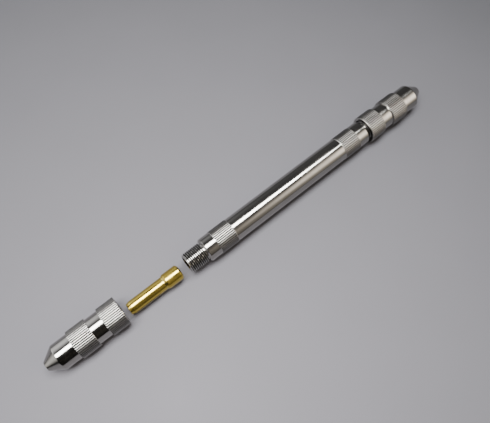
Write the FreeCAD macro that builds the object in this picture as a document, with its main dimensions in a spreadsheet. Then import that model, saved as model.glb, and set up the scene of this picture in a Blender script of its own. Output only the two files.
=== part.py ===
import FreeCAD, Part
import os
import re

import Sketcher

# Double-ended bookbinding awl handle: a steel handle, threaded at both ends, with a screw cap and a split
# brass collet at each end. The tool lies along X on a table, z = 0, with its rear chuck closed (+X). At the
# front (-X) the collet and the cap are off the handle and lie ahead of it, as when the needle is changed.
# Each turned piece is drawn along its own X axis and then placed. Millimetres.

# ---------------------------------------------------------------- driving dimensions
SIZES = {
    # handle
    "body_length": 79.75,
    "thread_radius": 4.0,
    "thread_depth": 0.42,
    "thread_pitch": 0.75,
    "thread_crest": 0.08,
    "thread_length": 7.75,
    "thread_lead": 0.5,
    "thread_relief": 0.5,
    "relief_depth": 0.08,
    "shoulder_height": 0.75,
    "shoulder_bevel": 0.6,
    "grip_offset": 5.0,
    "grip_length": 7.8,
    "grip_rise": 0.13,
    "mouth_wall": 0.8,
    "bore_radius": 1.75,
    # screw cap
    "mouth_gap": 1.0,
    "cap_thread_play": 0.36,
    "cap_thread_depth": 0.25,
    "cap_thread_length": 8.0,
    "cap_lead": 0.2,
    "cap_edge": 0.3,
    "rim_wall": 1.04,
    "rim_length": 7.05,
    "neck_wall": 1.15,
    "neck_length": 4.85,
    "band_wall": 1.72,
    "band_length": 7.4,
    "nose_wall": 1.1,
    "bore_step": 0.46,
    "cap_cone_length": 4.75,
    "cap_tip_reach": 2.0,
    "cap_tip_wall": 0.35,
    "needle_room": 0.3,
    # split collet
    "collet_length": 22.3,
    "head_room": 0.19,
    "head_length": 6.2,
    "tail_bevel": 0.6,
    "step_length": 0.9,
    "step_height": 0.47,
    "jaw_taper_length": 1.45,
    "jaw_taper_depth": 0.44,
    "hold_radius": 1.15,
    "hold_length": 14.0,
    "relief_step": 0.45,
    "slit_width": 0.36,
    "slit_length": 12.2,
    "slit_turn": 9.0,
    "slit_count": 2,
    "seat_clearance": 0.06,
    "cone_clearance": 0.06,
    # straight knurls
    "knurl_depth": 0.2,
    "knurl_width": 0.36,
    "grip_teeth": 38,
    "cap_teeth": 44,
    # how far a cutting outline runs past the face that it cuts
    "cut_over": 0.05,
    # where the loose front pieces lie
    "collet_gap": 3.4,
    "collet_drop": 1.55,
    "nose_gap": 1.95,
    "cap_aside": 1.2,
}

# ---------------------------------------------------------------- lengths and radii that follow from them
# radii of the handle, and of the collet that seats in its mouth
THREAD_ROOT = "(thread_radius - thread_depth)"
RELIEF_ROOT = f"({THREAD_ROOT} - relief_depth)"
BODY_RADIUS = "(thread_radius + shoulder_height)"
SEAT_RADIUS = "(thread_radius - mouth_wall)"
HEAD_RADIUS = f"({SEAT_RADIUS} - head_room)"
JAW_RADIUS = f"({HEAD_RADIUS} - step_height)"
JAW_TIP_RADIUS = f"({JAW_RADIUS} - jaw_taper_depth)"
RELIEF_RADIUS = "(hold_radius + relief_step)"
# the cap's bores, which pass the handle's thread and the collet's head, and the walls round them
CREST_RADIUS = "(thread_radius + cap_thread_play)"
CAP_BORE = f"({CREST_RADIUS} - bore_step)"
RIM_RADIUS = f"({CREST_RADIUS} + cap_thread_depth + rim_wall)"
NECK_RADIUS = f"({CAP_BORE} + neck_wall)"
BAND_RADIUS = f"({CAP_BORE} + band_wall)"
NOSE_RADIUS = f"({CAP_BORE} + nose_wall)"
CAP_HOLE = "(hold_radius + needle_room)"
# depths in the cap, from its mouth, when it is home
FACE_DEPTH = "(thread_length - mouth_gap)"
SEAT_DEPTH = "(head_room + tail_bevel - seat_clearance * sqrt(2))"
JAW_TIP_DEPTH = f"({FACE_DEPTH} - {SEAT_DEPTH} + collet_length)"
CONE_END_RADIUS = f"({JAW_TIP_RADIUS} + cone_clearance)"
JAW_SLOPE = "(jaw_taper_length / jaw_taper_depth)"
CONE_DEPTH = f"({JAW_TIP_DEPTH} - ({CAP_BORE} - {CONE_END_RADIUS}) * {JAW_SLOPE})"
CAP_LENGTH = f"({JAW_TIP_DEPTH} + cap_tip_reach)"
# places along the table: x = 0 and y = 0 are the middle of everything that lies there
HANDLE_LENGTH = "(body_length + 2 * thread_length)"
CAP_GAP = "(collet_gap + collet_length + nose_gap)"
FRONT_X = f"(({CAP_GAP} + {FACE_DEPTH} - {HANDLE_LENGTH}) / 2)"
REAR_X = f"({FRONT_X} + {HANDLE_LENGTH})"
AXIS_Y = "(-cap_aside / 2)"
AXIS_Z = f"max({RIM_RADIUS}; {BODY_RADIUS} + grip_rise)"

doc = FreeCAD.newDocument("awl_handle")
sheet = doc.addObject("Spreadsheet::Sheet", "Sizes")
for row, (alias, value) in enumerate(SIZES.items(), start=1):
    sheet.set(f"A{row}", alias.replace("_", " "))
    sheet.set(f"B{row}", str(value))
    sheet.setAlias(f"B{row}", alias)
doc.recompute()


def formula(text):
    """The same expression with each size read from the sheet."""
    return re.sub(r"\b([a-z]+_[a-z_]+)\b", r"Sizes.\1", text)


def origin_part(body, role):
    """One of the body's own origin planes or axes."""
    return next(part for part in body.Origin.OriginFeatures if part.Role == role)


def outline(body, name, role, points):
    """A closed outline of straight lines in one of the body's planes, its corners held by expressions."""
    sketch = body.newObject("Sketcher::SketchObject", name)
    sketch.AttachmentSupport = [(origin_part(body, role), "")]
    sketch.MapMode = "FlatFace"
    count = len(points)
    start = [FreeCAD.Vector(i + 1, i * i + 1, 0) for i in range(count)]
    for i in range(count):
        sketch.addGeometry(Part.LineSegment(start[i], start[(i + 1) % count]), False)
    for i in range(count):
        sketch.addConstraint(Sketcher.Constraint("Coincident", i, 2, (i + 1) % count, 1))
    for i, (along, away) in enumerate(points):
        for kind, text, zero_axis in (("DistanceX", along, -2), ("DistanceY", away, -1)):
            if text == "0":
                sketch.addConstraint(Sketcher.Constraint("PointOnObject", i, 1, zero_axis))
            else:
                index = sketch.addConstraint(Sketcher.Constraint(kind, -1, 1, i, 1, 1.0))
                sketch.setExpression(f"Constraints[{index}]", formula(text))
    return sketch


def turned(label, points):
    """A body turned about X from the half section that the points (along the axis, radius) describe."""
    body = doc.addObject("PartDesign::Body", label)
    body.Label = label
    turn = body.newObject("PartDesign::Revolution", label + "_turned")
    turn.Profile = outline(body, label + "_section", "XZ_Plane", points)
    turn.ReferenceAxis = (turn.Profile[0], ["H_Axis"])
    turn.Angle = 360
    body.Tip = turn
    doc.recompute()
    return body


def finish_cut(body, feature, before):
    """Make the feature the body's last one, and refuse a cut that took nothing away."""
    body.Tip = feature
    doc.recompute()
    if body.Shape.Volume >= before:
        raise RuntimeError(f"{feature.Name} cut nothing")


def thread(body, name, start, length, root, crest):
    """A right-hand helical V groove, from the crest's radius to the root's, along a length of the body."""
    before = body.Shape.Volume
    half = "((thread_pitch - thread_crest) / 2)"
    groove = body.newObject("PartDesign::SubtractiveHelix", name)
    groove.Profile = outline(body, name + "_section", "XZ_Plane", (
        (start, root),
        (f"{start} + {half}", crest),
        (f"{start} - {half}", crest),
    ))
    groove.ReferenceAxis = (origin_part(body, "X_Axis"), [""])
    groove.Mode = "pitch-height-angle"
    groove.setExpression("Pitch", formula("thread_pitch"))
    groove.setExpression("Height", formula(length))
    finish_cut(body, groove, before)


def cut_along(body, name, start, length, points):
    """A groove along +X, from start, whose section is drawn across the axis."""
    sketch = outline(body, name + "_section", "YZ_Plane", points)
    sketch.setExpression("AttachmentOffset.Base.z", formula(start))
    cut = body.newObject("PartDesign::Pocket", name)
    cut.Profile = sketch
    cut.Reversed = True
    cut.setExpression("Length", formula(length))
    doc.recompute()
    return cut


def repeat_round(body, name, cut, angle, count, before):
    """The same cut again at even steps round the axis."""
    ring = body.newObject("PartDesign::PolarPattern", name)
    ring.Originals = [cut]
    ring.Axis = (origin_part(body, "X_Axis"), [""])
    ring.Angle = angle
    ring.setExpression("Occurrences", formula(count))
    finish_cut(body, ring, before)


def knurl(body, name, start, length, radius, teeth):
    """Straight knurling: V grooves along the axis, all round a band of the given radius."""
    before = body.Shape.Volume
    half = "(knurl_width / 2 * (1 + cut_over / knurl_depth))"
    cut = cut_along(body, name + "_groove", start, length, (
        ("0", f"{radius} - knurl_depth"),
        (half, f"{radius} + cut_over"),
        (f"-{half}", f"{radius} + cut_over"),
    ))
    repeat_round(body, name, cut, 360, teeth, before)


def make_handle():
    """The one-piece handle: a thread, shoulder and knurled grip at each end, and a bore right through."""
    front = "thread_length"
    rear = "(thread_length + body_length)"
    front_grip = f"({front} + grip_offset)"
    rear_grip = f"({rear} - grip_offset - grip_length)"
    grip_radius = f"({BODY_RADIUS} + grip_rise)"
    countersink = f"({SEAT_RADIUS} - bore_radius)"
    points = [
        ("0", SEAT_RADIUS),
        ("0", "thread_radius - thread_lead"),
        ("thread_lead", "thread_radius"),
        (f"{front} - thread_relief", "thread_radius"),
        (f"{front} - thread_relief", RELIEF_ROOT),
        (front, RELIEF_ROOT),
        (front, f"{BODY_RADIUS} - shoulder_bevel"),
        (f"{front} + shoulder_bevel", BODY_RADIUS),
    ]
    for grip in (front_grip, rear_grip):
        points += [
            (grip, BODY_RADIUS),
            (f"{grip} + grip_rise", grip_radius),
            (f"{grip} + grip_length - grip_rise", grip_radius),
            (f"{grip} + grip_length", BODY_RADIUS),
        ]
    points += [
        (f"{rear} - shoulder_bevel", BODY_RADIUS),
        (rear, f"{BODY_RADIUS} - shoulder_bevel"),
        (rear, RELIEF_ROOT),
        (f"{rear} + thread_relief", RELIEF_ROOT),
        (f"{rear} + thread_relief", "thread_radius"),
        (f"{HANDLE_LENGTH} - thread_lead", "thread_radius"),
        (HANDLE_LENGTH, "thread_radius - thread_lead"),
        (HANDLE_LENGTH, SEAT_RADIUS),
        (f"{HANDLE_LENGTH} - {countersink}", "bore_radius"),
        (countersink, "bore_radius"),
    ]
    body = turned("handle", points)
    run = "(thread_length - thread_relief / 2 + thread_pitch / 2)"
    crest = "thread_radius + cut_over"
    thread(body, "front_thread", "(-thread_pitch / 2)", run, THREAD_ROOT, crest)
    thread(body, "rear_thread", f"({rear} + thread_relief / 2)", run, THREAD_ROOT, crest)
    knurl(body, "front_grip", front_grip, "grip_length", grip_radius, "grip_teeth")
    knurl(body, "rear_grip", rear_grip, "grip_length", grip_radius, "grip_teeth")
    return body


def make_cap(label):
    """A screw cap from its mouth at x = 0: knurled rim, neck, knurled band, and nose with a needle hole."""
    band = "(rim_length + neck_length)"
    nose = f"({band} + band_length)"
    body = turned(label, [
        ("0", f"{CREST_RADIUS} + cap_lead"),
        ("0", f"{RIM_RADIUS} - cap_edge"),
        ("cap_edge", RIM_RADIUS),
        ("rim_length - cap_edge", RIM_RADIUS),
        ("rim_length", f"{RIM_RADIUS} - cap_edge"),
        ("rim_length", NECK_RADIUS),
        (band, NECK_RADIUS),
        (band, f"{BAND_RADIUS} - cap_edge"),
        (f"{band} + cap_edge", BAND_RADIUS),
        (f"{nose} - cap_edge", BAND_RADIUS),
        (nose, f"{BAND_RADIUS} - cap_edge"),
        (nose, NOSE_RADIUS),
        (f"{CAP_LENGTH} - cap_cone_length", NOSE_RADIUS),
        (CAP_LENGTH, f"{CAP_HOLE} + cap_tip_wall"),
        (CAP_LENGTH, CAP_HOLE),
        (JAW_TIP_DEPTH, CONE_END_RADIUS),
        (CONE_DEPTH, CAP_BORE),
        ("cap_thread_length", CAP_BORE),
        ("cap_thread_length", CREST_RADIUS),
        ("cap_lead", CREST_RADIUS),
    ])
    thread(body, label + "_thread", "(-thread_pitch / 2)", f"({FACE_DEPTH} + thread_pitch / 2)",
           f"{CREST_RADIUS} + cap_thread_depth", f"{CREST_RADIUS} - cut_over")
    knurl(body, label + "_rim", "0", "rim_length", RIM_RADIUS, "cap_teeth")
    knurl(body, label + "_band", band, "band_length", BAND_RADIUS, "cap_teeth")
    return body


def make_collet(label):
    """A split collet from its tail at x = 0: a seated head, then four jaws, tapered at their tips."""
    body = turned(label, [
        ("0", RELIEF_RADIUS),
        ("0", f"{HEAD_RADIUS} - tail_bevel"),
        ("tail_bevel", HEAD_RADIUS),
        ("head_length", HEAD_RADIUS),
        ("head_length + step_length", JAW_RADIUS),
        ("collet_length - jaw_taper_length", JAW_RADIUS),
        ("collet_length", JAW_TIP_RADIUS),
        ("collet_length", "hold_radius"),
        ("collet_length - hold_length", "hold_radius"),
        ("collet_length - hold_length - relief_step", RELIEF_RADIUS),
    ])
    before = body.Shape.Volume
    half = "(slit_width / 2)"
    reach = f"({HEAD_RADIUS} + cut_over)"
    corners = ((half, reach), (f"-{half}", reach), (f"-{half}", f"-{reach}"), (half, f"-{reach}"))
    slit_start = "collet_length - slit_length"
    slit = cut_along(body, label + "_slit", slit_start, "slit_length + cut_over", corners)
    section = slit.Profile[0]
    some_turn = FreeCAD.Rotation(FreeCAD.Vector(0, 0, 1), 1)
    section.AttachmentOffset = FreeCAD.Placement(FreeCAD.Vector(), some_turn)
    section.setExpression("AttachmentOffset.Base.z", formula(slit_start))
    section.setExpression("AttachmentOffset.Rotation.Angle", formula("slit_turn"))
    repeat_round(body, label + "_slits", slit, 90, "slit_count", before)
    return body


def place(body, along, aside, height, turn):
    """Put a piece's own origin at a place in the tool's frame, turned about the vertical."""
    body.Placement.Rotation = FreeCAD.Rotation(FreeCAD.Vector(0, 0, 1), turn)
    for axis, text in zip("xyz", (along, aside, height)):
        body.setExpression(f"Placement.Base.{axis}", formula(text))


handle = make_handle()
place(handle, FRONT_X, AXIS_Y, AXIS_Z, 0)

front_cap = make_cap("front_cap")
place(front_cap, f"{FRONT_X} - {CAP_GAP}", f"{AXIS_Y} + cap_aside", AXIS_Z, 180)

front_collet = make_collet("front_collet")
place(front_collet, f"{FRONT_X} - collet_gap", AXIS_Y, f"{AXIS_Z} - collet_drop", 180)

rear_cap = make_cap("rear_cap")
place(rear_cap, f"{REAR_X} - {FACE_DEPTH}", AXIS_Y, AXIS_Z, 0)

rear_collet = make_collet("rear_collet")
place(rear_collet, f"{REAR_X} - {SEAT_DEPTH}", AXIS_Y, AXIS_Z, 0)

# ---------------------------------------------------------------- checks, then one STEP file for each piece
doc.recompute()
for item in doc.Objects:
    if "Invalid" in item.State or "Error" in item.State:
        raise RuntimeError(f"{item.Name} failed: {item.State}")
pieces = (handle, front_cap, front_collet, rear_cap, rear_collet)
for piece in pieces:
    if piece.Shape.isNull() or not piece.Shape.isValid() or len(piece.Shape.Solids) != 1:
        raise RuntimeError(f"{piece.Label} is not one valid solid")
os.makedirs("parts", exist_ok=True)
for piece in pieces:
    piece.Shape.exportStep(f"parts/{piece.Label}.step")
    box = piece.Shape.BoundBox
    corners = (box.XMin, box.XMax, box.YMin, box.YMax, box.ZMin, box.ZMax)
    print(f"{piece.Label}:", " ".join(f"{value:.3f}" for value in corners))
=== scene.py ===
"""The looks of a double-ended awl handle: turned and knurled nickel-plated steel, with split brass collets.

Every turned piece is a closed half-section carried round its axis, worked out on a grid of rows (along
the section) and columns (round the axis). Sizes are in millimetres until a mesh is filled, and places come
from the frame.
"""
import math

import bpy
import numpy as np
from mathutils import Matrix, Vector


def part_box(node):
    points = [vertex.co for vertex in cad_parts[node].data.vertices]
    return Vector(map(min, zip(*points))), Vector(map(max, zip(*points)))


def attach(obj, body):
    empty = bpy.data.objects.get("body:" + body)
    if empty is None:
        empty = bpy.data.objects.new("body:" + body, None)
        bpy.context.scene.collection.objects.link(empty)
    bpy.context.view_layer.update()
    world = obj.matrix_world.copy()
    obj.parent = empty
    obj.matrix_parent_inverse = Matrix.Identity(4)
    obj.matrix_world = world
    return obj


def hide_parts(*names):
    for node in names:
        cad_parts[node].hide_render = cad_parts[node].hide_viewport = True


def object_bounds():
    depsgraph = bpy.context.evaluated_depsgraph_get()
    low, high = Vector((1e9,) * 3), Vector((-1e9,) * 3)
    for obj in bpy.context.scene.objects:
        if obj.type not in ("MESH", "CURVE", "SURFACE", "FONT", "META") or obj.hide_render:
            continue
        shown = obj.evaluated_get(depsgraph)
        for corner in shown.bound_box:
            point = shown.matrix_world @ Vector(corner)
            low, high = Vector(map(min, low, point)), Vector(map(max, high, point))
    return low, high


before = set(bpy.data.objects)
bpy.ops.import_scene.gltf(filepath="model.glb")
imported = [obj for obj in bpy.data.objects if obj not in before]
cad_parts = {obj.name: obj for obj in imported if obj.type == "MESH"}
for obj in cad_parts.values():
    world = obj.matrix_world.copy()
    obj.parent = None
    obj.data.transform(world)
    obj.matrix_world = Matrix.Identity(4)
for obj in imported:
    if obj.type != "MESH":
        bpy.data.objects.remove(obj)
cad_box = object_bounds()

MM = 0.001
SEED = 7

# ---------------------------------------------------------------- sizes of the pieces, in millimetres
THREAD = {"radius": 4.0, "pitch": 0.75, "depth": 0.42, "length": 7.75, "relief": 0.5, "lead": 0.5,
          "undercut": 0.08, "rows": 108}
HANDLE = {"radius": 4.75, "bevel": 0.6, "seat": 3.2, "bore": 1.75}
GRIP = {"offset": 5.0, "length": 7.8, "radius": 4.87, "teeth": 38, "depth": 0.15, "tooth_columns": 6}
CAP = {"rim": 5.64, "rim_length": 7.05, "neck": 5.05, "neck_length": 4.85, "band": 5.61, "band_length": 7.4,
       "nose": 5.0, "cone_length": 4.75, "tip": 1.8, "hole": 1.45, "bore": 3.9, "crest": 4.36,
       "thread_end": 8.0, "thread_depth": 0.25, "cone_depth": 22.6, "teeth": 44, "depth": 0.17, "edge": 0.3,
       "lip": 0.2, "nose_edge": 0.25, "cone_end": 2.0, "cone_radius": 2.16, "thread_stop": 0.8,
       "thread_reach": 0.25, "tooth_columns": 8, "thread_rows": 70}
COLLET = {"head": 3.0, "head_length": 6.2, "bevel": 0.6, "step": 0.9, "jaw": 2.53, "tip": 2.1,
          "taper": 1.45, "bore": 1.15, "bore_length": 14.0, "relief": 1.6, "slit": 0.42,
          "slit_length": 12.2, "turn": 9.0, "step_edge": 0.15, "taper_edge": 0.2, "relief_cone": 0.45}
KNURL = {"half_groove": 0.42, "unevenness": 0.09, "overrun": 0.01}
GROOVE = {"middle": 0.5, "swing": 0.62, "fade": 3}
SOFT_EDGE = 0.07
FINE_EDGE = 0.04
THREAD_OVERRUN = -1  # a thread's start, ahead of the end face that it runs out through
OUTER_MARGIN = 0.05

# ---------------------------------------------------------------- how finely the surfaces are worked out
ARC_STEPS = 4
ARC_SHARE = 0.4
SUPPORT = 0.03
SHORTEST_STRAIGHT = 3 * SUPPORT
JAWS = 4
COLUMNS_PER_JAW = 21
STEEPEST_SLIT = 0.9
CUT_ROW = 0.05
SAME_PLACE = 1e-6
SHARP_ANGLE = 34  # degrees


# ---------------------------------------------------------------- half-sections
def section(corners):
    """A closed half-section from corners (x, r, edge radius, extra rows up to the next corner).

    Each corner becomes a parabolic arc: (1-u)^2 A + 2u(1-u) P + u^2 B, with P the corner and A and B the
    points one edge radius before and after it, at most a set share of each side. A row close beside each
    arc keeps the straight stretches flat. Returns x, r and whether each row is on a rounded outer edge
    (1 or 0)."""
    points = np.array([corner[:2] for corner in corners], float)
    before = np.roll(points, 1, axis=0) - points
    after = np.roll(points, -1, axis=0) - points
    rows, edge = [], []
    blend = np.linspace(0, 1, ARC_STEPS + 1)[:, None]
    for index, (_, _, radius, extra) in enumerate(corners):
        back_length = np.linalg.norm(before[index])
        on_length = np.linalg.norm(after[index])
        back = before[index] / back_length
        on = after[index] / on_length
        reach = min(radius, ARC_SHARE * back_length, ARC_SHARE * on_length)
        corner = points[index]
        if reach > 0:
            first, last = corner + back * reach, corner + on * reach
            arc = (1 - blend) ** 2 * first + 2 * blend * (1 - blend) * corner + blend ** 2 * last
            outward = on[0] * back[1] - on[1] * back[0] > 0
            rows.append(arc)
            edge.append(np.full(len(arc), 1.0 if outward else 0.0))
        else:
            rows.append(corner[None, :])
            edge.append(np.zeros(1))
        following = corners[(index + 1) % len(corners)][2]
        next_reach = min(following, ARC_SHARE * on_length)
        straight = on_length - reach - next_reach
        if straight > SHORTEST_STRAIGHT:
            nearest, farthest = reach + SUPPORT, on_length - next_reach - SUPPORT
            inner = np.linspace(nearest, farthest, extra + 2)[:, None]
            rows.append(corner + on * inner)
            edge.append(np.zeros(extra + 2))
    line = np.concatenate(rows)
    return line[:, 0], line[:, 1], np.concatenate(edge)


def vee(phase, half):
    """1 at a whole-number phase, falling in a straight line to 0 at half a groove's width either side. The
    phase counts teeth, so half is a share of one tooth."""
    off = np.abs(phase - np.round(phase))
    return np.clip(1 - off / half, 0, 1)


def knurled(x, r, theta, start, end, radius, teeth, depth, seed):
    """Cuts straight knurling into the rows between start and end: the surface becomes the smaller of r and
    radius - depth * vee(teeth * (theta - 90 degrees) / 360 degrees), each groove a little deeper or
    shallower than the next."""
    phase = teeth * (theta / (2 * np.pi) - 0.25)
    each = 1 + KNURL["unevenness"] * np.random.default_rng(seed).standard_normal(teeth)
    which = np.round(phase).astype(int) % teeth
    cut = radius - depth * each[which] * vee(phase, KNURL["half_groove"])
    inside = (x > start - KNURL["overrun"]) & (x < end + KNURL["overrun"])
    return np.where(inside[:, None], np.minimum(r, cut[None, :]), r)


def threaded(x, r, theta, start, end, crest, pitch, depth, inner):
    """Cuts a right-hand thread: the groove's middle is where x / pitch - theta / 360 degrees is a whole
    number. An outside thread is the smaller of r and crest - groove, an inside one the larger of r and
    crest + groove. The groove is depth * (middle + swing * cos(turns)), held between 0 and depth, so crests
    and roots are narrow flats, and it fades out over the last third of a turn before end."""
    phase = x[:, None] / pitch - theta[None, :] / (2 * np.pi)
    fade = np.clip(GROOVE["fade"] * (end - x) / pitch, 0, 1)[:, None]
    wave = GROOVE["middle"] + GROOVE["swing"] * np.cos(2 * np.pi * phase)
    groove = depth * np.clip(wave, 0, 1) * fade
    cut = np.maximum(r, crest + groove) if inner else np.minimum(r, crest - groove)
    inside = (x > start) & (x < end)
    return np.where(inside[:, None], cut, r)


# ---------------------------------------------------------------- meshes
def fill_mesh(name, points, corners, counts, uv, marks):
    """A mesh object from flat arrays: points in metres, corner vertices face after face, corners per face,
    one UV per corner (millimetres along the section, turns round the axis), and named values per vertex.
    Edges sharper than a set angle stay crisp, and all others are shaded smooth."""
    mesh = bpy.data.meshes.new(name)
    mesh.vertices.add(len(points))
    mesh.vertices.foreach_set("co", points.astype(np.float32).ravel())
    mesh.loops.add(len(corners))
    mesh.loops.foreach_set("vertex_index", corners.astype(np.int32))
    mesh.polygons.add(len(counts))
    mesh.polygons.foreach_set("loop_start", (np.cumsum(counts) - counts).astype(np.int32))
    mesh.update(calc_edges=True)
    layer = mesh.uv_layers.new(name="surface")
    layer.data.foreach_set("uv", uv.astype(np.float32).ravel())
    for mark, values in marks.items():
        attribute = mesh.attributes.new(mark, "FLOAT", "POINT")
        attribute.data.foreach_set("value", values.astype(np.float32))
    mesh.shade_smooth()
    mesh.set_sharp_from_angle(angle=math.radians(SHARP_ANGLE))
    mesh.validate()
    piece = bpy.data.objects.new(name, mesh)
    bpy.context.scene.collection.objects.link(piece)
    return piece


def section_length(x, r):
    """How far along the section each row is, in millimetres."""
    return np.concatenate([[0], np.cumsum(np.hypot(np.diff(x), np.diff(r)))])


def turned_piece(name, x, r, theta, edge, groove, place):
    """A closed ring of rows and columns: each point is (x, r cos theta, r sin theta), then put in place.

    The edge mark is 1 on rounded outer edges, and on a knurled or threaded row it is 1 at the crests."""
    rows, columns = r.shape
    lengthwise = np.broadcast_to(x[:, None], r.shape)
    local = np.stack([lengthwise, r * np.cos(theta), r * np.sin(theta)], -1)
    i, j = np.meshgrid(np.arange(rows), np.arange(columns), indexing="ij")
    quad_rows = np.stack([i, i, i + 1, i + 1], -1).reshape(-1)
    quad_columns = np.stack([j, j + 1, j + 1, j], -1).reshape(-1)
    corners = (quad_rows % rows) * columns + quad_columns % columns
    along = section_length(np.append(x, x[0]), np.append(r[:, 0], r[0, 0]))
    uv = np.stack([along[quad_rows], quad_columns / columns], -1)
    crest = (1 - groove) * (groove.max(axis=1) > CUT_ROW)[:, None]
    marks = {
        "edge": np.maximum(edge[:, None], crest).ravel(),
        "groove": groove.ravel(),
    }
    return fill_mesh(name, place(local.reshape(-1, 3)), corners, np.full(rows * columns, 4), uv, marks)


def split_piece(name, x, r, edge, slit_rows, slit, turn, place):
    """A turned ring whose four jaws are parted by flat slits of constant width.

    Round a jaw the angle is turn + centre + v (45 degrees - asin(slit / 2r)), with v from -1 to 1, so each
    jaw's side is the flat plane half a slit from the middle of the cut. Behind the slits the gap columns
    are closed, and each slit has two flat side walls and one at its root."""
    rows = len(x)
    first, last = slit_rows
    v = np.linspace(-1, 1, COLUMNS_PER_JAW)
    half_gap = np.arcsin(np.clip(slit / 2 / r, 0, STEEPEST_SLIT))
    jaw = np.arange(JAWS)
    centre = np.pi / 4 + jaw * np.pi / 2 + turn
    half_jaw = np.pi / 4 - half_gap[:, None, None]
    theta = (centre[None, :, None] + v[None, None, :] * half_jaw).reshape(rows, -1)
    columns = theta.shape[1]
    lengthwise = np.broadcast_to(x[:, None], theta.shape)
    wide = np.broadcast_to(r[:, None], theta.shape)
    local = np.stack([lengthwise, wide * np.cos(theta), wide * np.sin(theta)], -1)
    i, j = np.meshgrid(np.arange(rows), np.arange(columns), indexing="ij")
    gap_column = j % COLUMNS_PER_JAW == COLUMNS_PER_JAW - 1
    keep = ~(gap_column & (i >= first) & (i < last))
    i, j = i[keep], j[keep]
    quad_rows = np.stack([i, i, i + 1, i + 1], -1).reshape(-1)
    quad_columns = np.stack([j, j + 1, j + 1, j], -1).reshape(-1)
    corner_rows, corner_columns = [quad_rows], [quad_columns]
    counts = [np.full(len(i), 4)]
    wall = np.arange(first, last + 1)
    for start in jaw * COLUMNS_PER_JAW:
        end = start + COLUMNS_PER_JAW - 1
        following = end + 1
        corner_rows += [wall[::-1], wall, np.array([first, first, last, last])]
        corner_columns += [np.full(len(wall), end), np.full(len(wall), following),
                           np.array([end, following, following, end])]
        counts.append(np.array([len(wall), len(wall), 4]))
    all_rows, all_columns = np.concatenate(corner_rows), np.concatenate(corner_columns)
    corners = (all_rows % rows) * columns + all_columns % columns
    along = section_length(np.append(x, x[0]), np.append(r, r[0]))
    uv = np.stack([along[all_rows], all_columns / columns], -1)
    marks = {"edge": np.repeat(edge, columns), "groove": np.zeros(rows * columns)}
    return fill_mesh(name, place(local.reshape(-1, 3)), corners, np.concatenate(counts), uv, marks)


def placed(datum, reversed_piece):
    """A function that takes local points in millimetres to the frame: half a turn about the vertical for a
    piece that points forwards, then a shift to its datum."""
    sense = -1.0 if reversed_piece else 1.0

    def move(local):
        return local * np.array([sense, sense, 1.0]) * MM + np.array(datum)

    return move


def angles(teeth, columns_per_tooth):
    """Even angles round the axis, a whole number of columns to each knurl tooth."""
    count = teeth * columns_per_tooth
    return np.arange(count) * 2 * np.pi / count


# ---------------------------------------------------------------- the pieces
def make_handle():
    """The bar: a thread, undercut, shoulder and raised grip band at each end, and a bore between two seats.

    Its section goes along the outside from front to rear and back through the bore. The rear thread is cut
    with x and theta both turned round, so that it is right-hand too."""
    low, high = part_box("handle")
    length = (high.x - low.x) / MM
    front, rear = THREAD["length"], length - THREAD["length"]
    relief_radius = THREAD["radius"] - THREAD["depth"] - THREAD["undercut"]
    radius, bevel = HANDLE["radius"], HANDLE["bevel"]
    sink = HANDLE["seat"] - HANDLE["bore"]
    rise = GRIP["radius"] - radius
    grips = [(front + GRIP["offset"], front + GRIP["offset"] + GRIP["length"]),
             (rear - GRIP["offset"] - GRIP["length"], rear - GRIP["offset"])]
    corners = [
        (0, HANDLE["seat"], FINE_EDGE, 0),
        (0, THREAD["radius"] - THREAD["lead"], FINE_EDGE, 6),
        (THREAD["lead"], THREAD["radius"], FINE_EDGE, THREAD["rows"]),
        (front - THREAD["relief"], THREAD["radius"], FINE_EDGE, 0),
        (front - THREAD["relief"], relief_radius, FINE_EDGE, 0),
        (front, relief_radius, FINE_EDGE, 0),
        (front, radius - bevel, SOFT_EDGE, 0),
        (front + bevel, radius, SOFT_EDGE, 0),
    ]
    for start, end in grips:
        corners += [(start, radius, FINE_EDGE, 2), (start + rise, radius + rise, FINE_EDGE, 6),
                    (end - rise, radius + rise, FINE_EDGE, 2), (end, radius, FINE_EDGE, 8)]
    corners += [
        (rear - bevel, radius, SOFT_EDGE, 0),
        (rear, radius - bevel, SOFT_EDGE, 0),
        (rear, relief_radius, FINE_EDGE, 0),
        (rear + THREAD["relief"], relief_radius, FINE_EDGE, 0),
        (rear + THREAD["relief"], THREAD["radius"], FINE_EDGE, THREAD["rows"]),
        (length - THREAD["lead"], THREAD["radius"], FINE_EDGE, 6),
        (length, THREAD["radius"] - THREAD["lead"], FINE_EDGE, 0),
        (length, HANDLE["seat"], FINE_EDGE, 0),
        (length - sink, HANDLE["bore"], FINE_EDGE, 4),
        (sink, HANDLE["bore"], FINE_EDGE, 0),
    ]
    x, profile, edge = section(corners)
    theta = angles(GRIP["teeth"], GRIP["tooth_columns"])
    smooth = np.repeat(profile[:, None], len(theta), axis=1)
    outer = (profile > HANDLE["seat"] + OUTER_MARGIN)[:, None]
    worked = smooth
    for start, end in grips:
        worked = knurled(x, worked, theta, start, end, GRIP["radius"], GRIP["teeth"], GRIP["depth"], SEED)
    worked = threaded(x, worked, theta, THREAD_OVERRUN, front - THREAD["relief"], THREAD["radius"],
                      THREAD["pitch"], THREAD["depth"], False)
    rear_x = x - rear - THREAD["relief"]
    back = threaded(-rear_x, worked, -theta, -THREAD["length"], 0, THREAD["radius"], THREAD["pitch"],
                    THREAD["depth"], False)
    worked = np.where(outer, np.where((rear_x > 0)[:, None], back, worked), smooth)
    full_depth = np.where((x > front) & (x < rear), GRIP["depth"], THREAD["depth"])[:, None]
    groove = np.clip((smooth - worked) / full_depth, 0, 1)
    axis = (low + high) / 2
    place = placed((low.x, axis.y, axis.z), False)
    return turned_piece("turned_handle", x, worked, theta, edge, groove, place)


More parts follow.
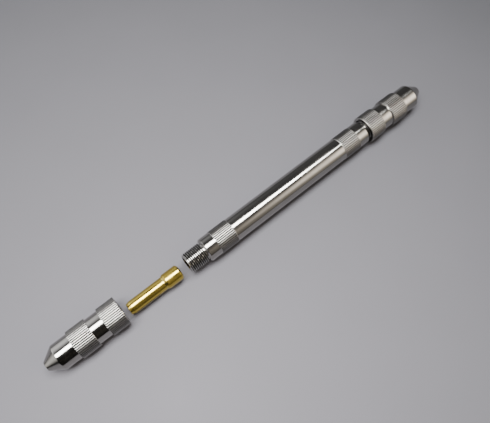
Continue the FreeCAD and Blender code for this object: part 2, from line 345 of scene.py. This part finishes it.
def make_cap(name, node, reversed_piece):
    """A screw cap: a knurled rim, a neck, a knurled band, a nose and a cone with a hole through its tip.

    Its section goes along the outside from the mouth to the tip and back inside, down the cone that closes
    the collet, through the bore, and along the thread to the mouth."""
    low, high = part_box(node)
    length = (high.x - low.x) / MM
    rim, band_start = CAP["rim_length"], CAP["rim_length"] + CAP["neck_length"]
    band_end = band_start + CAP["band_length"]
    edge_cut = CAP["edge"]
    corners = [
        (0, CAP["crest"] + CAP["lip"], FINE_EDGE, 0),
        (0, CAP["rim"], edge_cut, 6),
        (rim, CAP["rim"], edge_cut, 0),
        (rim, CAP["neck"], FINE_EDGE, 4),
        (band_start, CAP["neck"], FINE_EDGE, 0),
        (band_start, CAP["band"], edge_cut, 6),
        (band_end, CAP["band"], edge_cut, 0),
        (band_end, CAP["nose"], FINE_EDGE, 4),
        (length - CAP["cone_length"], CAP["nose"], CAP["nose_edge"], 4),
        (length, CAP["tip"], SOFT_EDGE, 0),
        (length, CAP["hole"], FINE_EDGE, 2),
        (length - CAP["cone_end"], CAP["cone_radius"], FINE_EDGE, 4),
        (CAP["cone_depth"], CAP["bore"], SOFT_EDGE, 4),
        (CAP["thread_end"], CAP["bore"], FINE_EDGE, 0),
        (CAP["thread_end"], CAP["crest"], FINE_EDGE, CAP["thread_rows"]),
        (CAP["lip"], CAP["crest"], FINE_EDGE, 0),
    ]
    x, profile, edge = section(corners)
    theta = angles(CAP["teeth"], CAP["tooth_columns"])
    smooth = np.repeat(profile[:, None], len(theta), axis=1)
    worked = knurled(x, smooth, theta, 0, rim, CAP["rim"], CAP["teeth"], CAP["depth"], SEED + 1)
    worked = knurled(x, worked, theta, band_start, band_end, CAP["band"], CAP["teeth"], CAP["depth"],
                     SEED + 2)
    inner_thread = threaded(x, smooth, theta, THREAD_OVERRUN, CAP["thread_end"] - CAP["thread_stop"],
                            CAP["crest"], THREAD["pitch"], CAP["thread_depth"], True)
    inside = (profile < CAP["crest"] + CAP["thread_reach"]) & (x < CAP["thread_end"])
    worked = np.where(inside[:, None], inner_thread, worked)
    groove = np.clip(np.abs(smooth - worked) / CAP["depth"], 0, 1)
    centre = (low + high) / 2
    mouth = high.x if reversed_piece else low.x
    place = placed((mouth, centre.y, centre.z), reversed_piece)
    return turned_piece(name, x, worked, theta, edge, groove, place)


def make_collet(name, node, reversed_piece):
    """A collet: a bevelled head, a step down to a slimmer stem, and a tapered nose, slit into four jaws.

    Its section goes along the outside from the head to the nose and back through the bore, which opens into
    a wider relief behind the slits."""
    low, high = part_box(node)
    length = (high.x - low.x) / MM
    slit_root = length - COLLET["slit_length"]
    jaw_end = length - COLLET["taper"]
    bore_end = length - COLLET["bore_length"]
    corners = [
        (0, COLLET["relief"], FINE_EDGE, 0),
        (0, COLLET["head"] - COLLET["bevel"], SOFT_EDGE, 0),
        (COLLET["bevel"], COLLET["head"], SOFT_EDGE, 2),
        (COLLET["head_length"], COLLET["head"], COLLET["step_edge"], 0),
        (COLLET["head_length"] + COLLET["step"], COLLET["jaw"], COLLET["step_edge"], 2),
        (slit_root, COLLET["jaw"], 0, 6),
        (jaw_end, COLLET["jaw"], COLLET["taper_edge"], 2),
        (length, COLLET["tip"], SOFT_EDGE, 0),
        (length, COLLET["bore"], FINE_EDGE, 0),
        (slit_root, COLLET["bore"], 0, 0),
        (bore_end, COLLET["bore"], FINE_EDGE, 0),
        (bore_end - COLLET["relief_cone"], COLLET["relief"], FINE_EDGE, 0),
    ]
    x, profile, edge = section(corners)
    roots = np.flatnonzero(np.abs(x - slit_root) < SAME_PLACE)
    centre = (low + high) / 2
    tail = high.x if reversed_piece else low.x
    place = placed((tail, centre.y, centre.z), reversed_piece)
    turn = math.radians(COLLET["turn"])
    return split_piece(name, x, profile, edge, (roots[0], roots[-1]), COLLET["slit"], turn, place)


# ---------------------------------------------------------------- finishes
COLOUR_A, COLOUR_B, COLOUR_OUT = 6, 7, 2  # the Mix node's colour sockets
RING_SHARES = {"coarse": 0.6, "fine": 0.4}
PATCHES = {"scale": 900.0, "share": 0.6, "least": 0.55}
# how the painted groove shade, with some grime, grows with a groove's depth
GROOVE_SHADE_AND_SOIL_POWER = 0.5
ROUGHNESS_SHARES = {"even": 0.55, "smudged": 0.45, "ringed": 0.5}
# extra roughness in the grooves that are painted dark
GROOVE_SHADE_AND_SOIL_ROUGHNESS = 0.3
NICKEL = {
    "clean": (0.34, 0.332, 0.315, 1),
    "warm": (0.29, 0.278, 0.26, 1),
    "bright": (0.60, 0.59, 0.57, 1),
    # near black: painted shade at the bottom of knurls and threads, with some grime
    "shaded_and_soiled": (0.012, 0.011, 0.01, 1),
    "roughness": 0.15,
    "ring_height": 0.0022,
    "anisotropic": 0.5,
    "marks": {"Ring Pitch": 6.0, "Smudge Size": 130.0, "Groove Shade And Soil Amount": 1.4, "Polish Amount": 0.8},
}
BRASS = {
    "clean": (0.53, 0.41, 0.085, 1),
    "warm": (0.44, 0.32, 0.06, 1),
    "bright": (0.68, 0.57, 0.22, 1),
    # painted groove shade and some grime, as on the nickel
    "shaded_and_soiled": (0.10, 0.06, 0.015, 1),
    "roughness": 0.25,
    "ring_height": 0.003,
    "anisotropic": 0.4,
    "marks": {"Ring Pitch": 5.0, "Smudge Size": 190.0, "Groove Shade And Soil Amount": 0.5, "Polish Amount": 0.5},
}
BOARD = {  # places in metres
    "pool_middle": (-0.060, -0.036, 0.0),
    "pool_reach": 0.25,
    "mottle": 0.05,
    "pool": (0.121, 0.118, 0.132, 1),
    "far": (0.022, 0.023, 0.026, 1),
    "roughness": 0.75,
    "specular": 0.25,
}


def add_node(tree, kind, inputs=None, **settings):
    """A node with its settings and the plain values of its sockets."""
    node = tree.nodes.new(kind)
    for key, value in settings.items():
        setattr(node, key, value)
    for key, value in (inputs or {}).items():
        node.inputs[key].default_value = value
    return node


def calc(tree, operation, first, second):
    """A Math node fed by two sockets or numbers; returns its result socket."""
    node = add_node(tree, "ShaderNodeMath", operation=operation)
    for index, value in enumerate((first, second)):
        if isinstance(value, (int, float)):
            node.inputs[index].default_value = value
        else:
            tree.links.new(value, node.inputs[index])
    return node.outputs[0]


def mix_colour(tree, factor, first, second):
    """A colour mix of two sockets or plain colours by a factor socket; returns its colour socket."""
    node = add_node(tree, "ShaderNodeMix", data_type="RGBA")
    for key, value in (("Factor", factor), (COLOUR_A, first), (COLOUR_B, second)):
        socket = node.inputs[key]
        if isinstance(value, tuple):
            socket.default_value = value
        else:
            tree.links.new(value, socket)
    return node.outputs[COLOUR_OUT]


def machined_surface_group():
    """What a lathe and then hands leave on bare metal, with painted shade in its grooves.

    Rings: 1-D noise along the section, coarse and fine, as tool marks. Smudge: soft 3-D noise, where
    fingers and cloths have dulled the polish. Groove shade and soil: a dark film at the bottom of knurls
    and threads, patchy, which paints in the grooves' shade along with some grime. Bright: edges and crests
    rubbed brighter. Inputs set the rings per millimetre, the smudges' scale, and how strong the painted
    groove shade and the polish are."""
    group = bpy.data.node_groups.new("machined surface", "ShaderNodeTree")
    face = group.interface
    for name in ("Ring Pitch", "Smudge Size", "Groove Shade And Soil Amount", "Polish Amount"):
        face.new_socket(name=name, in_out="INPUT", socket_type="NodeSocketFloat")
    for name in ("Rings", "Smudge", "Groove Shade And Soil", "Bright"):
        face.new_socket(name=name, in_out="OUTPUT", socket_type="NodeSocketFloat")
    start = add_node(group, "NodeGroupInput")
    end = add_node(group, "NodeGroupOutput")
    split = add_node(group, "ShaderNodeSeparateXYZ")
    group.links.new(add_node(group, "ShaderNodeUVMap", uv_map="surface").outputs["UV"], split.inputs[0])
    ring_place = calc(group, "MULTIPLY", split.outputs["X"], start.outputs["Ring Pitch"])
    coarse = add_node(group, "ShaderNodeTexNoise", {"Scale": 1.0, "Detail": 3.0, "Roughness": 0.65},
                      noise_dimensions="1D")
    fine = add_node(group, "ShaderNodeTexNoise", {"Scale": 4.7, "Detail": 2.0, "Roughness": 0.6},
                    noise_dimensions="1D")
    group.links.new(ring_place, coarse.inputs["W"])
    group.links.new(ring_place, fine.inputs["W"])
    rings = calc(group, "ADD", calc(group, "MULTIPLY", coarse.outputs[0], RING_SHARES["coarse"]),
                 calc(group, "MULTIPLY", fine.outputs[0], RING_SHARES["fine"]))
    group.links.new(rings, end.inputs["Rings"])
    here = add_node(group, "ShaderNodeTexCoord")
    smudge = add_node(group, "ShaderNodeTexNoise", {"Detail": 4.0, "Roughness": 0.55, "Distortion": 0.6})
    group.links.new(here.outputs["Object"], smudge.inputs["Vector"])
    group.links.new(start.outputs["Smudge Size"], smudge.inputs["Scale"])
    group.links.new(smudge.outputs[0], end.inputs["Smudge"])
    groove = add_node(group, "ShaderNodeAttribute", attribute_name="groove")
    patch = add_node(group, "ShaderNodeTexNoise", {"Scale": PATCHES["scale"], "Detail": 2.0})
    group.links.new(here.outputs["Object"], patch.inputs["Vector"])
    patchy = calc(group, "MULTIPLY", patch.outputs[0], PATCHES["share"])
    patchy = calc(group, "ADD", patchy, PATCHES["least"])
    # painted shade, with some grime: darker the deeper the groove, in patches
    groove_shade_and_soil = calc(group, "MULTIPLY", calc(group, "POWER", groove.outputs["Fac"], GROOVE_SHADE_AND_SOIL_POWER), patchy)
    group.links.new(calc(group, "MULTIPLY", groove_shade_and_soil, start.outputs["Groove Shade And Soil Amount"]), end.inputs["Groove Shade And Soil"])
    edge = add_node(group, "ShaderNodeAttribute", attribute_name="edge")
    rubbed = calc(group, "MULTIPLY", edge.outputs["Fac"], patchy)
    group.links.new(calc(group, "MULTIPLY", rubbed, start.outputs["Polish Amount"]), end.inputs["Bright"])
    return group


def metal(name, surface, finish):
    """Bare metal: its colour wanders from clean to warm with the smudges, edges are bright, and the grooves
    are painted dark, as their shade and some grime.

    Roughness is shares of the finish's own roughness, even, by smudge and by ring, and more in the
    painted-dark grooves. The rings are also a faint bump, and the gloss is drawn out in one direction along
    the surface."""
    material = bpy.data.materials.new(name)
    material.use_nodes = True
    tree = material.node_tree
    shader = tree.nodes["Principled BSDF"]
    shader.inputs["Metallic"].default_value = 1.0
    shader.inputs["Anisotropic"].default_value = finish["anisotropic"]
    marks = add_node(tree, "ShaderNodeGroup", node_tree=surface)
    for socket, value in finish["marks"].items():
        marks.inputs[socket].default_value = value
    drift = add_node(tree, "ShaderNodeMapRange", {"From Min": 0.35, "From Max": 0.7})
    tree.links.new(marks.outputs["Smudge"], drift.inputs["Value"])
    colour = mix_colour(tree, drift.outputs[0], finish["clean"], finish["warm"])
    colour = mix_colour(tree, marks.outputs["Bright"], colour, finish["bright"])
    # paints the grooves dark: their shade, and some grime
    colour = mix_colour(tree, marks.outputs["Groove Shade And Soil"], colour, finish["shaded_and_soiled"])
    tree.links.new(colour, shader.inputs["Base Color"])
    roughness = finish["roughness"]
    dull = calc(tree, "MULTIPLY", drift.outputs[0], roughness * ROUGHNESS_SHARES["smudged"])
    ringed = calc(tree, "MULTIPLY", marks.outputs["Rings"], roughness * ROUGHNESS_SHARES["ringed"])
    total = calc(tree, "ADD", calc(tree, "ADD", dull, ringed), roughness * ROUGHNESS_SHARES["even"])
    total = calc(tree, "ADD", total, calc(tree, "MULTIPLY", marks.outputs["Groove Shade And Soil"], GROOVE_SHADE_AND_SOIL_ROUGHNESS))
    tree.links.new(total, shader.inputs["Roughness"])
    bump = add_node(tree, "ShaderNodeBump", {"Strength": 1.0, "Distance": finish["ring_height"] * MM})
    tree.links.new(marks.outputs["Rings"], bump.inputs["Height"])
    tree.links.new(bump.outputs["Normal"], shader.inputs["Normal"])
    along = add_node(tree, "ShaderNodeTangent", direction_type="UV_MAP", uv_map="surface")
    tree.links.new(along.outputs["Tangent"], shader.inputs["Tangent"])
    return material


def table_top():
    """Matt grey, seamless board with a very slight mottling. Its own colour is dark, and the strong key
    light makes it pale. Its tone runs from a lighter pool to a darker far edge with the distance from the
    pool's middle, which stands in for the way that light falls off across a table."""
    material = bpy.data.materials.new("pale board")
    material.use_nodes = True
    tree = material.node_tree
    shader = tree.nodes["Principled BSDF"]
    here = add_node(tree, "ShaderNodeTexCoord")
    mottle = add_node(tree, "ShaderNodeTexNoise", {"Scale": 38.0, "Detail": 3.0})
    tree.links.new(here.outputs["Object"], mottle.inputs["Vector"])
    away = add_node(tree, "ShaderNodeVectorMath", operation="DISTANCE")
    away.inputs[1].default_value = BOARD["pool_middle"]
    tree.links.new(here.outputs["Object"], away.inputs[0])
    fade = add_node(tree, "ShaderNodeMapRange", {"From Min": 0.0, "From Max": BOARD["pool_reach"]})
    tree.links.new(away.outputs["Value"], fade.inputs["Value"])
    tone = calc(tree, "ADD", fade.outputs[0], calc(tree, "MULTIPLY", mottle.outputs[0], BOARD["mottle"]))
    colour = mix_colour(tree, tone, BOARD["pool"], BOARD["far"])
    tree.links.new(colour, shader.inputs["Base Color"])
    shader.inputs["Roughness"].default_value = BOARD["roughness"]
    shader.inputs["Specular IOR Level"].default_value = BOARD["specular"]
    return material


# ---------------------------------------------------------------- put together
surface = machined_surface_group()
nickel = metal("satin nickel", surface, NICKEL)
brass = metal("turned brass", surface, BRASS)

PIECES = (
    (make_handle(), "handle", "handle_steel", nickel),
    (make_cap("front_screw_cap", "front_cap", True), "front_cap", "cap_steel", nickel),
    (make_cap("rear_screw_cap", "rear_cap", False), "rear_cap", "cap_steel", nickel),
    (make_collet("front_split_collet", "front_collet", True), "front_collet", "collet_brass", brass),
    (make_collet("rear_split_collet", "rear_collet", False), "rear_collet", "collet_brass", brass),
)
for piece, node, slot, finish in PIECES:
    piece.data.materials.append(finish)
    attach(piece, node)
    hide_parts(node)

# ---------------------------------------------------------------- table, lights and camera
# The table and the key light are in metres. The camera stands at a place in millimetres, rolled in degrees.
# A glow is its direction, the cosines where it starts and is full, and its colour.
TABLE_HALF = 1.2
KEY = {"towards": (-0.08, 0.10, 0.985), "distance": 1.0, "size": (1.25, 0.45), "radiance": 37.0,
       "colour": (1.0, 0.995, 0.98)}
CAMERA = {"stand": (-51.494, -50.761, 195.076), "look": (0.24794, 0.26037, -0.93313), "roll": 4.574,
          "lens": 39.66, "sensor": 36.0, "near": 0.01, "far": 10}
ROOM_TONE = (0.014, 0.013, 0.012)
GLOW_POWER = 2.0
GLOWS = (
    ((0.0, 1.0, 0.25), 0.1, 1.0, (0.16, 0.16, 0.165, 1)),
    ((-0.40, 0.83, 0.39), 0.75, 1.0, (2.4, 2.4, 2.45, 1)),
    ((-0.90, 0.20, 0.40), 0.80, 1.0, (1.9, 1.85, 1.8, 1)),
    ((0.64, -0.54, 0.55), 0.86, 1.0, (4.6, 4.1, 3.6, 1)),
    ((0.70, -0.60, 0.38), 0.58, 1.0, (1.05, 0.95, 0.82, 1)),
)
middle = (Vector(cad_box[0]) + Vector(cad_box[1])) / 2


def make_table():
    """A flat square, far larger than the view, at the height that everything rests on."""
    half = TABLE_HALF
    mesh = bpy.data.meshes.new("table")
    corners = [(-half, -half, 0), (half, -half, 0), (half, half, 0), (-half, half, 0)]
    mesh.from_pydata(corners, [], [(0, 1, 2, 3)])
    table = bpy.data.objects.new("table", mesh)
    bpy.context.scene.collection.objects.link(table)
    mesh.materials.append(table_top())


def make_key_light():
    """A soft oval panel that faces the tool from above, its longer axis level with the tool's length.

    Its power is radiance times pi times its area, so its brightness in the metal is set directly."""
    light = bpy.data.lights.new("key panel", "AREA")
    light.shape = "ELLIPSE"
    light.size, light.size_y = KEY["size"]
    area = KEY["size"][0] * KEY["size"][1] * (math.pi / 4)
    light.energy = KEY["radiance"] * math.pi * area
    light.color = KEY["colour"]
    lamp = bpy.data.objects.new("key panel", light)
    away = Vector(KEY["towards"]).normalized()
    level = (Vector((1, 0, 0)) - away * away.x).normalized()
    up = away.cross(level)
    turn = Matrix((level, up, away)).transposed().to_4x4()
    lamp.matrix_world = Matrix.Translation(middle + away * KEY["distance"]) @ turn
    bpy.context.scene.collection.objects.link(lamp)


def make_camera():
    """Looks down on the tool from above its near side, a little rolled."""
    camera = bpy.data.cameras.new("camera")
    camera.lens = CAMERA["lens"]
    camera.sensor_width = CAMERA["sensor"]
    camera.clip_start, camera.clip_end = CAMERA["near"], CAMERA["far"]
    look = Vector(CAMERA["look"]).normalized()
    stand = Vector(CAMERA["stand"]) * MM
    holder = bpy.data.objects.new("camera", camera)
    level = look.to_track_quat("-Z", "Y").to_matrix().to_4x4()
    roll = Matrix.Rotation(math.radians(CAMERA["roll"]), 4, "Z")
    holder.matrix_world = Matrix.Translation(stand) @ level @ roll
    bpy.context.scene.collection.objects.link(holder)
    bpy.context.scene.camera = holder


def glow(tree, direction, start, full, colour, below):
    """Light from a side of the room, added to what is below it: the glow grows with the square of how far
    the cosine of the angle to its middle has passed from start to full."""
    facing = add_node(tree, "ShaderNodeVectorMath", operation="DOT_PRODUCT")
    facing.inputs[1].default_value = Vector(direction).normalized()
    tree.links.new(add_node(tree, "ShaderNodeTexCoord").outputs["Generated"], facing.inputs[0])
    rise = add_node(tree, "ShaderNodeMapRange", {"From Min": start, "From Max": full})
    tree.links.new(facing.outputs["Value"], rise.inputs["Value"])
    amount = calc(tree, "POWER", rise.outputs[0], GLOW_POWER)
    lit = mix_colour(tree, amount, (0, 0, 0, 1), colour)
    total = add_node(tree, "ShaderNodeVectorMath", operation="ADD")
    tree.links.new(lit, total.inputs[0])
    if isinstance(below, tuple):
        total.inputs[1].default_value = below
    else:
        tree.links.new(below, total.inputs[1])
    return total.outputs["Vector"]


def make_room():
    """A dark room with pale glows past the tool's front end and far side, and warm ones on its near rear
    side."""
    world = bpy.data.worlds.new("room")
    world.use_nodes = True
    tree = world.node_tree
    light = ROOM_TONE
    for direction, start, full, colour in GLOWS:
        light = glow(tree, direction, start, full, colour, light)
    tree.links.new(light, tree.nodes["Background"].inputs["Color"])
    bpy.context.scene.world = world


make_table()
make_key_light()
make_camera()
make_room()
